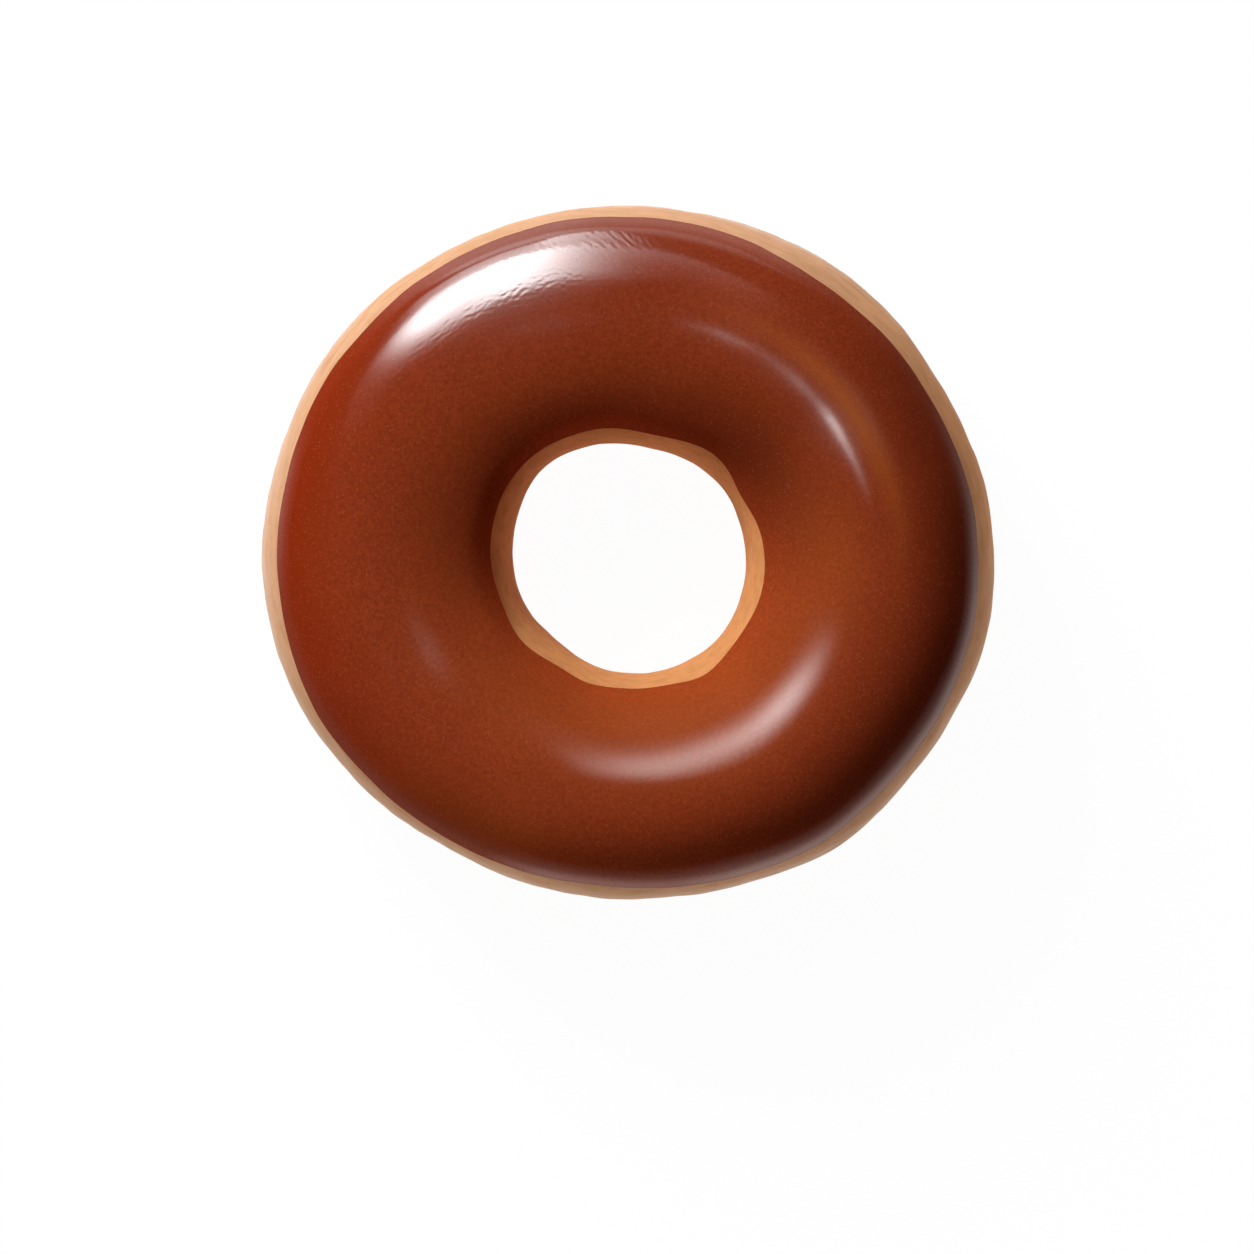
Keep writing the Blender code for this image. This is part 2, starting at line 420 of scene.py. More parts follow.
def swelling(around, swells):
    """The sum of soft bumps round the ring, each a bell about its own angle, which joins up all round."""
    total = np.zeros_like(around)
    for place, amount, half_width in swells:
        away = np.cos(around - math.radians(place)) - 1
        total += amount * np.exp(away / math.radians(half_width) ** 2)
    return total


def oval_reach(around, half_length, half_width, turn, centre):
    """How far a level ray from the origin runs to meet an oval, from the oval's quadratic equation."""
    along = np.cos(around - turn) / half_length
    across = np.sin(around - turn) / half_width
    start_along = (centre[0] * math.cos(turn) + centre[1] * math.sin(turn)) / half_length
    start_across = (centre[1] * math.cos(turn) - centre[0] * math.sin(turn)) / half_width
    square = along**2 + across**2
    middle = along * start_along + across * start_across
    rest = start_along**2 + start_across**2 - 1
    return (middle + np.sqrt(middle**2 - square * rest)) / square


def dough_surface(around, up, dough):
    """Points of the dough at an angle round the ring and an angle up its section.

    The section runs between the hole and the outline at its waist. It is an ellipse made a little fuller,
    whose crown leans outwards, and its lower half ends in the flat foot.
    """
    outline = oval_reach(around, dough.half_length, dough.half_width, dough.turn, RING_CENTRE)
    outline += swelling(around, RING_SWELLS)
    hole = oval_reach(around, dough.hole_half_length, dough.hole_half_width, dough.hole_turn, HOLE_CENTRE)
    hole += swelling(around, HOLE_SWELLS)

    cos_up = np.cos(up)
    sin_up = np.sin(up)
    above_waist = np.maximum(sin_up, 0)
    fullness = SECTION_FULLNESS + swelling(around, FULLNESS_SWELLS)
    shift_power = SHIFT_POWER + swelling(around, SHIFT_POWER_SWELLS)
    outwards = cos_up * (1 + fullness * sin_up**2) + CROWN_SHIFT * above_waist**shift_power
    reach = (outline + hole) / 2 + (outline - hole) / 2 * outwards

    crown = dough.crown + swelling(around, CROWN_SWELLS)
    upper = dough.waist_height + crown * sin_up * (1 + fullness * cos_up**2)
    lower = soft_floor(dough.waist_height + dough.belly * sin_up, dough.foot_rounding)
    height = np.where(sin_up > 0, upper, lower)
    return np.stack([reach * np.cos(around), reach * np.sin(around), height], axis=-1)


def soft_floor(height, rounding):
    """Flattens what would sink below the floor, with a rounded turn into the flat foot."""
    rounded = (height + rounding) ** 2 / (4 * rounding)
    foot = np.where(height < -rounding, 0.0, rounded)
    return np.where(height > rounding, height, foot)


def outward_normal(around, up, dough):
    """The dough's unit normal: the cross product of its slopes along both angles, each from close points."""
    step = 1e-4
    along = dough_surface(around + step, up, dough) - dough_surface(around - step, up, dough)
    over = dough_surface(around, up + step, dough) - dough_surface(around, up - step, dough)
    normal = np.cross(along, over)
    return normal / np.linalg.norm(normal, axis=-1, keepdims=True)


def ripples(points, wavelength, seed, count=24):
    """A wandering height of about unit size: flat waves of about one length, in seeded directions, summed."""
    draw = np.random.default_rng(seed)
    directions = draw.normal(size=(count, 3))
    directions /= np.linalg.norm(directions, axis=1, keepdims=True)
    lengths = wavelength * draw.uniform(*WAVE_SPREAD, (count, 1))
    phases = draw.uniform(0, 2 * math.pi, count)
    waves = np.sin(points @ (2 * math.pi * directions / lengths).T + phases)
    return waves.sum(axis=-1, keepdims=True) / math.sqrt(count / 2)


def wander(points, sets):
    """Sets of ripples added up by their shares, less one, so that a surface wanders mostly inwards."""
    return sum(share * ripples(points, length, seed) for share, length, seed in sets) - 1


def wobble(around, waves):
    """Sine waves round the ring added up, each with its own height, number of waves and start."""
    return sum(height * np.sin(number * around + start) for height, number, start in waves)


def crowded(start, end, count, crowding):
    """Numbers from start to end that lie closer together where the crowding is higher.

    The crowding is added up along the way, and each number sits where that sum reaches its equal share.
    """
    places = np.linspace(start, end, CROWDING_SAMPLES)
    shares = np.cumsum(crowding(places))
    return np.interp(np.linspace(shares[0], shares[-1], count), shares, places)


def fine_ripples(around, up, length, least_turn, most_turn, seed, count=50):
    """A height of about unit size, like brush marks: waves along the ring, each turned a little, added up."""
    draw = np.random.default_rng(seed)
    turns = np.radians(draw.uniform(least_turn, most_turn, count))
    numbers = 2 * math.pi / (length * draw.uniform(*FINE_WAVE_SPREAD, count))
    phases = draw.uniform(0, 2 * math.pi, count)
    along = RIPPLE_REACH * around
    across = SECTION_REACH * up
    total = np.zeros(np.broadcast(around, up).shape)
    for turn, number, phase in zip(turns, numbers, phases):
        total += np.sin(number * (along * math.sin(turn) + across * math.cos(turn)) + phase)
    return total / math.sqrt(count / 2)


def wrapped_faces(rows, columns):
    """The faces of a grid that joins up with itself both ways, as rows of four point numbers."""
    numbers = np.arange(rows * columns).reshape(rows, columns)
    ahead = np.roll(numbers, -1, axis=0)
    up = np.roll(numbers, -1, axis=1)
    corner = np.roll(ahead, -1, axis=1)
    return np.stack([numbers, ahead, corner, up], axis=-1).reshape(-1, 4)


def add_wrapped_surface(name, points):
    """A smooth closed mesh from a grid of points that joins up with itself both ways."""
    rows, columns = points.shape[:2]
    faces = wrapped_faces(rows, columns)
    mesh = bpy.data.meshes.new(name)
    mesh.vertices.add(rows * columns)
    mesh.vertices.foreach_set("co", points.ravel())
    mesh.loops.add(faces.size)
    mesh.loops.foreach_set("vertex_index", faces.ravel())
    mesh.polygons.add(len(faces))
    mesh.polygons.foreach_set("loop_start", np.arange(0, faces.size, 4))
    mesh.update(calc_edges=True)
    mesh.validate()
    mesh.shade_smooth()
    piece = bpy.data.objects.new(name, mesh)
    bpy.context.scene.collection.objects.link(piece)
    return piece


def dough_points(dough):
    """The fine dough surface: the section all the way round, with the crust's unevenness along the normal.

    The unevenness fades out at the foot, which stays flat. Also gives the two angles of the grid.
    """
    around = np.linspace(0, 2 * math.pi, DOUGH_RING_STEPS, endpoint=False)[:, None]
    up = np.linspace(0, 2 * math.pi, DOUGH_SECTION_STEPS, endpoint=False)[None, :]
    points = dough_surface(around, up, dough)
    normal = outward_normal(around, up, dough)
    above_foot = np.clip(points[..., 2:] / dough.foot_rounding - 1, 0, 1)
    return points + normal * wander(points, DOUGH_WANDER) * dough.unevenness * above_foot, around, up


def icing_edges(around, icing):
    """The section angles of the icing's outer and inner edge: broad swells with a fine wobble on them."""
    outer = np.radians(swelling(around, OUTER_EDGE_SWELLS) + wobble(around, OUTER_EDGE_WOBBLES))
    inner = np.radians(swelling(around, INNER_EDGE_SWELLS) + wobble(around, INNER_EDGE_WOBBLES))
    return icing.outer_edge + outer, math.pi - (icing.inner_edge + inner)


def ring_crowding(around):
    """How closely the icing's points lie round the ring."""
    return 1 + swelling(around, RIPPLED_STRETCH)


def section_crowding(over):
    """How closely the icing's points lie over its section."""
    lips = np.exp(-over / LIP_CROWDING_WIDTH) + np.exp((over - 1) / LIP_CROWDING_WIDTH)
    rippled = np.exp(-0.5 * ((over - RIPPLED_MIDDLE) / RIPPLED_WIDTH) ** 2)
    return 1 + LIP_CROWDING * lips + RIPPLED_CROWDING * rippled


def icing_angles(icing):
    """The icing grid's angles round the ring, and up the section over the top and back underneath.

    Both crowd where the fine ripples are, and those over the top crowd towards both lips too.
    """
    around = crowded(0, 2 * math.pi, ICING_RING_STEPS + 1, ring_crowding)[:-1, None]
    outer, inner = icing_edges(around, icing)
    over = crowded(0, 1, ICING_TOP_STEPS, section_crowding)[None, :]
    up_top = outer + (inner - outer) * over
    back = np.linspace(1, 0, ICING_UNDER_STEPS + 2)[None, 1:-1]
    up_under = outer + (inner - outer) * back
    return around, up_top, up_under, back


def patches(around, up, places):
    """A mask between 0 and 1 that is high at some places of the ring: the sum of bells in both angles."""
    total = np.zeros(np.broadcast(around, up).shape)
    for ring_place, up_place, ring_width, up_width, strength in places:
        ring_away = (np.cos(around - math.radians(ring_place)) - 1) / math.radians(ring_width) ** 2
        up_away = -0.5 * ((up - math.radians(up_place)) / math.radians(up_width)) ** 2
        total += strength * np.exp(ring_away + up_away)
    return np.clip(total, 0, 1)


def add_attribute(piece, name, values):
    """Keeps one number for each point of a piece, for its material to read."""
    attribute = piece.data.attributes.new(name, "FLOAT", "POINT")
    attribute.data.foreach_set("value", values.ravel())


def add_flow_places(piece, around, up):
    """A place for each point, for patterns drawn out along the ring: a cylinder's three coordinates.

    The way round the ring is squeezed, so that a pattern made in these coordinates comes out long that way.
    The way round the section starts and ends under the foot.
    """
    around, up = np.broadcast_arrays(around, up)
    reach = RING_MIDDLE_REACH / FLOW_STRETCH
    across = SECTION_REACH * np.mod(up + math.pi / 2, 2 * math.pi)
    places = np.stack([reach * np.cos(around), reach * np.sin(around), across], axis=-1)
    attribute = piece.data.attributes.new("flow place", "FLOAT_VECTOR", "POINT")
    attribute.data.foreach_set("vector", places.ravel())


def icing_points(dough, icing):
    """The fine icing surface: over the top from lip to lip, then back just inside the dough.

    Its thickness is that of the crown, eased to a share of it towards each lip, times a quarter circle at the
    lip. Also gives the two angles of the grid.
    """
    around, up_top, up_under, back = icing_angles(icing)
    outer = up_top[:, :1]
    inner = up_top[:, -1:]
    section_radius = dough.crown
    from_lip = np.minimum(up_top - outer, inner - up_top) * section_radius
    rounding = np.clip(from_lip / icing.lip_rounding, 0, 1)
    ease = np.clip(from_lip / LIP_EASE, 0, 1)
    share = icing.lip_share + (1 - icing.lip_share) * ease * ease * (3 - 2 * ease)
    thickness = icing.thickness * share * np.sqrt(1 - (1 - rounding) ** 2)

    under_depth = UNDER_DEPTH * np.minimum(1, UNDER_EASE * np.minimum(back, 1 - back)) * np.ones_like(around)

    up = np.concatenate([up_top, up_under], axis=1)
    lift = np.concatenate([thickness, under_depth], axis=1)[..., None]
    points = dough_surface(around, up, dough)
    normal = outward_normal(around, up, dough)
    full = np.clip(lift / icing.thickness, 0, 1)
    points += normal * (lift + wander(points, ICING_WANDER) * icing.unevenness * full)
    for seed, (ring_place, up_place, ring_width, up_width, height, *waves) in enumerate(RIPPLE_SETS):
        rippled_here = patches(around, up, ((ring_place, up_place, ring_width, up_width, 1.0),))
        rippled = rippled_here * height * fine_ripples(around, up, *waves, seed=seed)
        points += normal * full * rippled[..., None]
    return points, around, up


# Materials


def node(tree, kind, place, **settings):
    """A new node with its settings, at a place in the node editor."""
    made = tree.nodes.new(kind)
    made.location = place
    for key, value in settings.items():
        setattr(made, key, value)
    return made


def set_values(made, **values):
    """Sets a node's inputs by their names, with an underscore for each space."""
    for key, value in values.items():
        made.inputs[key.replace("_", " ")].default_value = value


def start_group(name, numbers, result):
    """A new node group that takes a place and two numbers, the first of them a size, and gives one number.

    Also gives its input and output nodes, and the node that turns the size into how often it fits in a metre.
    """
    group = bpy.data.node_groups.new(name, "ShaderNodeTree")
    group.interface.new_socket("Place", in_out="INPUT", socket_type="NodeSocketVector")
    for label, value in numbers:
        socket = group.interface.new_socket(label, in_out="INPUT", socket_type="NodeSocketFloat")
        socket.default_value = value
    group.interface.new_socket(result, in_out="OUTPUT", socket_type="NodeSocketFloat")
    inputs = node(group, "NodeGroupInput", (-800, 0))
    outputs = node(group, "NodeGroupOutput", (600, 0))
    per_metre = node(group, "ShaderNodeMath", (-600, 0), operation="DIVIDE")
    per_metre.inputs[0].default_value = 1.0
    group.links.new(inputs.outputs[numbers[0][0]], per_metre.inputs[1])
    return group, inputs, outputs, per_metre


def mottling_group():
    """A soft patchy mask between 0 and 1 at a place: noise, stretched to the full range."""
    name = "soft mottling"
    if name in bpy.data.node_groups:
        return bpy.data.node_groups[name]
    numbers = (("Patch Size", 5 * MM), ("Contrast", 1.0))
    group, inputs, outputs, per_metre = start_group(name, numbers, "Mask")
    noise = node(group, "ShaderNodeTexNoise", (-400, 100))
    set_values(noise, Detail=3.0, Roughness=0.55)
    centred = node(group, "ShaderNodeMath", (-200, 100), operation="SUBTRACT")
    centred.inputs[1].default_value = 0.5
    stretched = node(group, "ShaderNodeMath", (0, 100), operation="MULTIPLY")
    back = node(group, "ShaderNodeMath", (200, 100), operation="ADD", use_clamp=True)
    back.inputs[1].default_value = 0.5
    link = group.links.new
    link(inputs.outputs["Place"], noise.inputs["Vector"])
    link(per_metre.outputs[0], noise.inputs["Scale"])
    link(noise.outputs["Fac"], centred.inputs[0])
    link(centred.outputs[0], stretched.inputs[0])
    link(inputs.outputs["Contrast"], stretched.inputs[1])
    link(stretched.outputs[0], back.inputs[0])
    link(back.outputs[0], outputs.inputs["Mask"])
    return group


def grain_group():
    """A fine height for a Bump node at a place: noise of one grain size with a finer noise on top of it."""
    name = "fine grain"
    if name in bpy.data.node_groups:
        return bpy.data.node_groups[name]
    numbers = (("Grain Size", 0.6 * MM), ("Fine Share", 0.3))
    group, inputs, outputs, per_metre = start_group(name, numbers, "Height")
    finer = node(group, "ShaderNodeMath", (-400, -150), operation="MULTIPLY")
    finer.inputs[1].default_value = FINER_GRAIN
    coarse_noise = node(group, "ShaderNodeTexNoise", (-200, 150))
    set_values(coarse_noise, Detail=2.0, Roughness=0.5)
    fine_noise = node(group, "ShaderNodeTexNoise", (-200, -150))
    set_values(fine_noise, Detail=1.0, Roughness=0.5)
    mixed = node(group, "ShaderNodeMix", (200, 0))
    link = group.links.new
    link(per_metre.outputs[0], finer.inputs[0])
    link(inputs.outputs["Place"], coarse_noise.inputs["Vector"])
    link(inputs.outputs["Place"], fine_noise.inputs["Vector"])
    link(per_metre.outputs[0], coarse_noise.inputs["Scale"])
    link(finer.outputs[0], fine_noise.inputs["Scale"])
    link(inputs.outputs["Fine Share"], mixed.inputs["Factor"])
    link(coarse_noise.outputs["Fac"], mixed.inputs["A"])
    link(fine_noise.outputs["Fac"], mixed.inputs["B"])
    link(mixed.outputs["Result"], outputs.inputs["Height"])
    return group


def new_material(name):
    """A material with a Principled shader, its node tree and that shader."""
    material = bpy.data.materials.new(name)
    material.use_nodes = True
    tree = material.node_tree
    tree.nodes.clear()
    output = node(tree, "ShaderNodeOutputMaterial", (900, 0))
    shader = node(tree, "ShaderNodeBsdfPrincipled", (600, 0))
    tree.links.new(shader.outputs["BSDF"], output.inputs["Surface"])
    return material, tree, shader


def place_group(tree, group, place, reads, **values):
    """Places a shared group in a material, reading the coordinates that it is given."""
    made = node(tree, "ShaderNodeGroup", place)
    made.node_tree = group
    set_values(made, **values)
    tree.links.new(reads, made.inputs["Place"])
    return made


def mix_colours(tree, place, factor, first, second):
    """A colour mix. Each colour is either a plain colour or another node's output."""
    mix = node(tree, "ShaderNodeMix", place, data_type="RGBA")
    tree.links.new(factor, mix.inputs[0])
    for value, socket in ((first, mix.inputs[6]), (second, mix.inputs[7])):
        if isinstance(value, bpy.types.NodeSocket):
            tree.links.new(value, socket)
        else:
            socket.default_value = (*value, 1.0)
    return mix.outputs[2]


def map_range(tree, place, value, low, high, start=0.0, end=1.0, course="SMOOTHSTEP"):
    """Runs from start to end as the value goes from low to high, smoothly or in a straight line."""
    mapped = node(tree, "ShaderNodeMapRange", place, interpolation_type=course)
    tree.links.new(value, mapped.inputs["Value"])
    set_values(mapped, From_Min=low, From_Max=high, To_Min=start, To_Max=end)
    return mapped.outputs["Result"]


def multiply(tree, place, first, second):
    """Two nodes' outputs multiplied."""
    product = node(tree, "ShaderNodeMath", place, operation="MULTIPLY")
    tree.links.new(first, product.inputs[0])
    tree.links.new(second, product.inputs[1])
    return product.outputs["Value"]


def attribute(tree, place, name, output="Fac"):
    """What a piece's own attribute says."""
    return node(tree, "ShaderNodeAttribute", place, attribute_name=name).outputs[output]


def add_grain(tree, shader, reads, height, strength, **values):
    """Feeds fine grain of a height to the shader's Normal, by the coordinates that it reads."""
    grain = place_group(tree, grain_group(), (100, -400), reads, **values)
    bump = node(tree, "ShaderNodeBump", (350, -400))
    set_values(bump, Strength=strength, Distance=height)
    tree.links.new(grain.outputs["Height"], bump.inputs["Height"])
    tree.links.new(bump.outputs["Normal"], shader.inputs["Normal"])


def dough_material(dough):
    """Fried dough: pale above, paler round the waist, where a painted sheen lightens it too, and golden brown
    below, with a fine crumb.

    It is mottled, streaked along the ring, and browner inside the hole and on one side.
    """
    material, tree, shader = new_material("fried dough")
    link = tree.links.new
    place = node(tree, "ShaderNodeTexCoord", (-1400, 0)).outputs["Object"]
    flow = attribute(tree, (-1400, 500), "flow place", "Vector")
    axes = node(tree, "ShaderNodeSeparateXYZ", (-1200, 0))
    link(place, axes.inputs["Vector"])

    patchy = place_group(tree, mottling_group(), (-1200, 300), place, Patch_Size=9 * MM, Contrast=2.2)
    uneven_height = node(tree, "ShaderNodeMath", (-1000, 100), operation="MULTIPLY_ADD")
    uneven_height.inputs[1].default_value = HEIGHT_WANDER
    link(patchy.outputs["Mask"], uneven_height.inputs[0])
    link(axes.outputs["Z"], uneven_height.inputs[2])

    above_fried = map_range(tree, (-800, 200), uneven_height.outputs[0], *FRIED_HEIGHTS)
    above_waist = map_range(tree, (-800, -100), uneven_height.outputs[0], *CRUST_HEIGHTS)
    # The waist colour holds a painted sheen as well as the real pale band
    lower = mix_colours(tree, (-500, 200), above_fried, dough.fried_colour, dough.pale_waist_and_sheen_colour)
    outer = mix_colours(tree, (-300, 100), above_waist, lower, dough.crust_colour)

    level = node(tree, "ShaderNodeVectorMath", (-1200, -250), operation="MULTIPLY")
    level.inputs[1].default_value = (1, 1, 0)
    from_axis = node(tree, "ShaderNodeVectorMath", (-1000, -250), operation="LENGTH")
    link(place, level.inputs[0])
    link(level.outputs["Vector"], from_axis.inputs[0])
    in_hole = map_range(tree, (-800, -300), from_axis.outputs["Value"], *HOLE_REACHES)
    # Browner crust on the side towards +X
    browner_side = attribute(tree, (-500, -100), "browner_side")
    side_browner = mix_colours(tree, (-200, 0), browner_side, outer, dough.browner_side_colour)
    base = mix_colours(tree, (-100, 0), in_hole, side_browner, dough.hole_colour)

    streaks = place_group(tree, mottling_group(), (-600, 700), flow, Patch_Size=1.1 * MM, Contrast=2.6)
    streak_share = map_range(tree, (-400, 700), streaks.outputs["Mask"], 0.25, 1.0, 0.0, STREAK_SHARE)
    above_foot = map_range(tree, (-400, 900), axes.outputs["Z"], *STREAK_HEIGHTS)
    streaked_here = multiply(tree, (-200, 800), streak_share, above_foot)
    streaked = mix_colours(tree, (50, 200), streaked_here, base, dough.fried_colour)

    spots = place_group(tree, mottling_group(), (-600, 450), place, Patch_Size=2.5 * MM, Contrast=2.0)
    spot_share = map_range(tree, (-300, 500), spots.outputs["Mask"], 0.2, 1.0, 0.0, SPOT_SHARE)
    darker = mix_colours(tree, (250, 300), spot_share, streaked, dough.fried_colour)
    link(darker, shader.inputs["Base Color"])

    roughness = map_range(tree, (300, -200), spots.outputs["Mask"], 0.0, 1.0, 0.6, 0.8)
    link(roughness, shader.inputs["Roughness"])

    add_grain(tree, shader, place, height=0.08 * MM, strength=0.8, Grain_Size=0.9 * MM, Fine_Share=0.4)
    set_values(shader, Subsurface_Weight=0.15, Subsurface_Scale=1.0 * MM, Specular_IOR_Level=0.1)
    shader.inputs["Subsurface Radius"].default_value = (1.0, 0.5, 0.25)
    return material


def icing_material(icing):
    """Chocolate icing: mottled reddish brown with tiny light specks, with painted light and painted shade on
    its slopes, glossiest where it set smoothest.
    """
    material, tree, shader = new_material("chocolate icing")
    link = tree.links.new
    place = node(tree, "ShaderNodeTexCoord", (-1400, 0)).outputs["Object"]
    glossy = attribute(tree, (-1200, -300), "glossy")
    # Painted light: where the icing is painted lighter and warmer
    painted_light = attribute(tree, (-1200, 200), "painted_light")
    # Painted shade: where the icing is painted darker
    painted_shade = attribute(tree, (-1200, 400), "painted_shade")
    clear = attribute(tree, (-1200, 600), "clear")
    flow = attribute(tree, (-1200, -500), "flow place", "Vector")

    patchy = place_group(tree, mottling_group(), (-1000, 300), place, Patch_Size=12 * MM, Contrast=1.4)
    base = mix_colours(tree, (-700, 300), patchy.outputs["Mask"], icing.dark_colour, icing.colour)
    cloudy = place_group(tree, mottling_group(), (-1000, 500), place, Patch_Size=0.45 * MM, Contrast=2.4)
    cloud_share = map_range(tree, (-700, 500), cloudy.outputs["Mask"], 0.0, 1.0, 0.0, CLOUD_SHARE)
    clouded = mix_colours(tree, (-500, 300), cloud_share, base, icing.mottle_and_shade_colour)
    # Painted shade mixed into the icing's colour
    shaded = mix_colours(tree, (-400, 300), painted_shade, clouded, icing.mottle_and_shade_colour)
    # Painted light mixed into the icing's colour
    lit_up = mix_colours(tree, (-300, 300), painted_light, shaded, icing.painted_light_colour)
    cleared = mix_colours(tree, (-200, 300), clear, lit_up, icing.clear_colour)

    specks = node(tree, "ShaderNodeTexVoronoi", (-1000, 800), feature="F1")
    set_values(specks, Scale=1 / SPECK_SPACING)
    link(place, specks.inputs["Vector"])
    speck_size = node(tree, "ShaderNodeSeparateColor", (-800, 700))
    link(specks.outputs["Color"], speck_size.inputs["Color"])
    speck_dots = map_range(tree, (-600, 800), specks.outputs["Distance"], 0.1, 0.4, SPECK_SHARE, 0.0)
    chosen = map_range(tree, (-600, 650), speck_size.outputs["Red"], 0.25, 0.95)
    speck_share = multiply(tree, (-300, 700), speck_dots, chosen)
    speckled = mix_colours(tree, (-100, 400), speck_share, cleared, icing.speck_colour)
    link(speckled, shader.inputs["Base Color"])

    dull, smooth = icing.dull_roughness, icing.smooth_roughness
    roughness = map_range(tree, (-300, -100), glossy, 0.0, 1.0, dull, smooth, "LINEAR")
    link(roughness, shader.inputs["Roughness"])
    coat = map_range(tree, (-300, -350), glossy, 0.0, 1.0, icing.thin_coat, 1.0, "LINEAR")
    link(coat, shader.inputs["Coat Weight"])
    set_values(shader, Coat_Roughness=0.17, Coat_IOR=1.9, Specular_IOR_Level=0.004)

    add_grain(tree, shader, flow, height=0.03 * MM, strength=1.0, Grain_Size=0.6 * MM, Fine_Share=0.35)
    return material


def floor_material(studio):
    """A pale floor that glows like a light table. Seen from below it is clear, so it hides nothing.

    What lights other surfaces is a pool round the middle. What shines up into glossy surfaces grows brighter
    a little way out, and is brighter on some sides than on others.
    """
    material, tree, shader = new_material("pale floor")
    link = tree.links.new
    place = node(tree, "ShaderNodeTexCoord", (-1200, 0)).outputs["Object"]
    patchy = place_group(tree, mottling_group(), (-400, 200), place, Patch_Size=0.6, Contrast=0.5)
    dimmer = tuple(0.94 * part for part in studio.floor_colour)
    tint = mix_colours(tree, (0, 200), patchy.outputs["Mask"], dimmer, studio.floor_colour)
    link(tint, shader.inputs["Base Color"])

    from_middle = node(tree, "ShaderNodeVectorMath", (-1000, -200), operation="LENGTH")
    link(place, from_middle.inputs[0])
    beyond = map_range(tree, (-800, -200), from_middle.outputs["Value"], *SHEEN_GROWTH)
    near = map_range(tree, (-800, -50), from_middle.outputs["Value"], *NEAR_GROWTH)
    pool = map_range(tree, (-800, 150), from_middle.outputs["Value"], *POOL_EDGE)
    direction = node(tree, "ShaderNodeTexGradient", (-1000, -450), gradient_type="RADIAL")
    link(place, direction.inputs["Vector"])
    sides = node(tree, "ShaderNodeValToRGB", (-800, -450))
    for stop in sides.color_ramp.elements:
        stop.color = (SHEEN_ENDS, SHEEN_ENDS, SHEEN_ENDS, 1)
    for share, brightness in SHEEN_SIDES:
        stop = sides.color_ramp.elements.new(share)
        stop.color = (*(brightness * part for part in SHEEN_TINT), 1)
    link(direction.outputs["Fac"], sides.inputs["Fac"])
    path = node(tree, "ShaderNodeLightPath", (-800, -700))
    sheen = mix_colours(tree, (-500, -400), beyond, (0, 0, 0), sides.outputs["Color"])
    warm = mix_colours(tree, (-650, 0), near, (0, 0, 0), NEAR_BOUNCE)
    lighting = mix_colours(tree, (-500, -200), pool, warm, FAR_BOUNCE)
    unseen = mix_colours(tree, (-300, -300), path.outputs["Is Glossy Ray"], lighting, sheen)
    glow = mix_colours(tree, (100, -300), path.outputs["Is Camera Ray"], unseen, (1, 1, 1))
    link(glow, shader.inputs["Emission Color"])
    set_values(shader, Roughness=0.9, Emission_Strength=studio.floor_glow, Specular_IOR_Level=0.1)

    clear = node(tree, "ShaderNodeBsdfTransparent", (600, -400))
    facing = node(tree, "ShaderNodeNewGeometry", (600, 300))
    either = node(tree, "ShaderNodeMixShader", (800, 0))
    link(facing.outputs["Backfacing"], either.inputs[0])
    link(shader.outputs["BSDF"], either.inputs[1])
    link(clear.outputs["BSDF"], either.inputs[2])
    link(either.outputs[0], tree.nodes["Material Output"].inputs["Surface"])
    return material


# Lights


def from_azimuth(azimuth, elevation):
    """The unit vector towards a place on the sky: degrees anticlockwise from +X, and degrees up."""
    azimuth = math.radians(azimuth)
    elevation = math.radians(elevation)
    level = math.cos(elevation)
    return Vector((level * math.cos(azimuth), level * math.sin(azimuth), math.sin(elevation)))


def add_lamp(name, part, azimuth, elevation, width, height, brightness, colour):
    """An oval of light that faces the ring, with its width level.

    Its power is its brightness times its area times pi.
    """
    light = bpy.data.lights.new(name, "AREA")
    light.shape = "ELLIPSE"
    light.size = 2 * LAMP_DISTANCE * math.tan(math.radians(width) / 2)
    light.size_y = 2 * LAMP_DISTANCE * math.tan(math.radians(height) / 2)
    light.energy = brightness * math.pi * math.pi / 4 * light.size * light.size_y
    light.color = colour
    lamp = bpy.data.objects.new(name, light)
    towards = from_azimuth(azimuth, elevation)
    lamp.location = towards * LAMP_DISTANCE + Vector((0, 0, RING_HIGH[2]))
    lamp.rotation_euler = towards.to_track_quat("Z", "Y").to_euler()
    lamp.visible_camera = False
    lamp.visible_glossy = part == "shine"
    lamp.visible_diffuse = part == "light"
    lamp.visible_transmission = part == "light"
    bpy.context.scene.collection.objects.link(lamp)


def make_world():
    """A backdrop that is pale to the camera, and dim as light on surfaces and in glossy ones."""
    world = bpy.data.worlds.new("studio")
    bpy.context.scene.world = world
    world.use_nodes = True
    tree = world.node_tree
    tree.nodes.clear()
    output = node(tree, "ShaderNodeOutputWorld", (600, 0))
    path = node(tree, "ShaderNodeLightPath", (-600, 200))
    seen = node(tree, "ShaderNodeMix", (-200, 0))
    set_values(seen, A=WORLD_LIGHT, B=WORLD_SEEN)
    tree.links.new(path.outputs["Is Camera Ray"], seen.inputs["Factor"])
    shined = node(tree, "ShaderNodeMix", (0, 0))
    set_values(shined, B=WORLD_SHINE)
    tree.links.new(path.outputs["Is Glossy Ray"], shined.inputs["Factor"])
    tree.links.new(seen.outputs["Result"], shined.inputs["A"])
    backdrop = node(tree, "ShaderNodeBackground", (300, 0))
    backdrop.inputs["Color"].default_value = (1, 1, 1, 1)
    tree.links.new(shined.outputs["Result"], backdrop.inputs["Strength"])
    tree.links.new(backdrop.outputs[0], output.inputs["Surface"])


# Operators


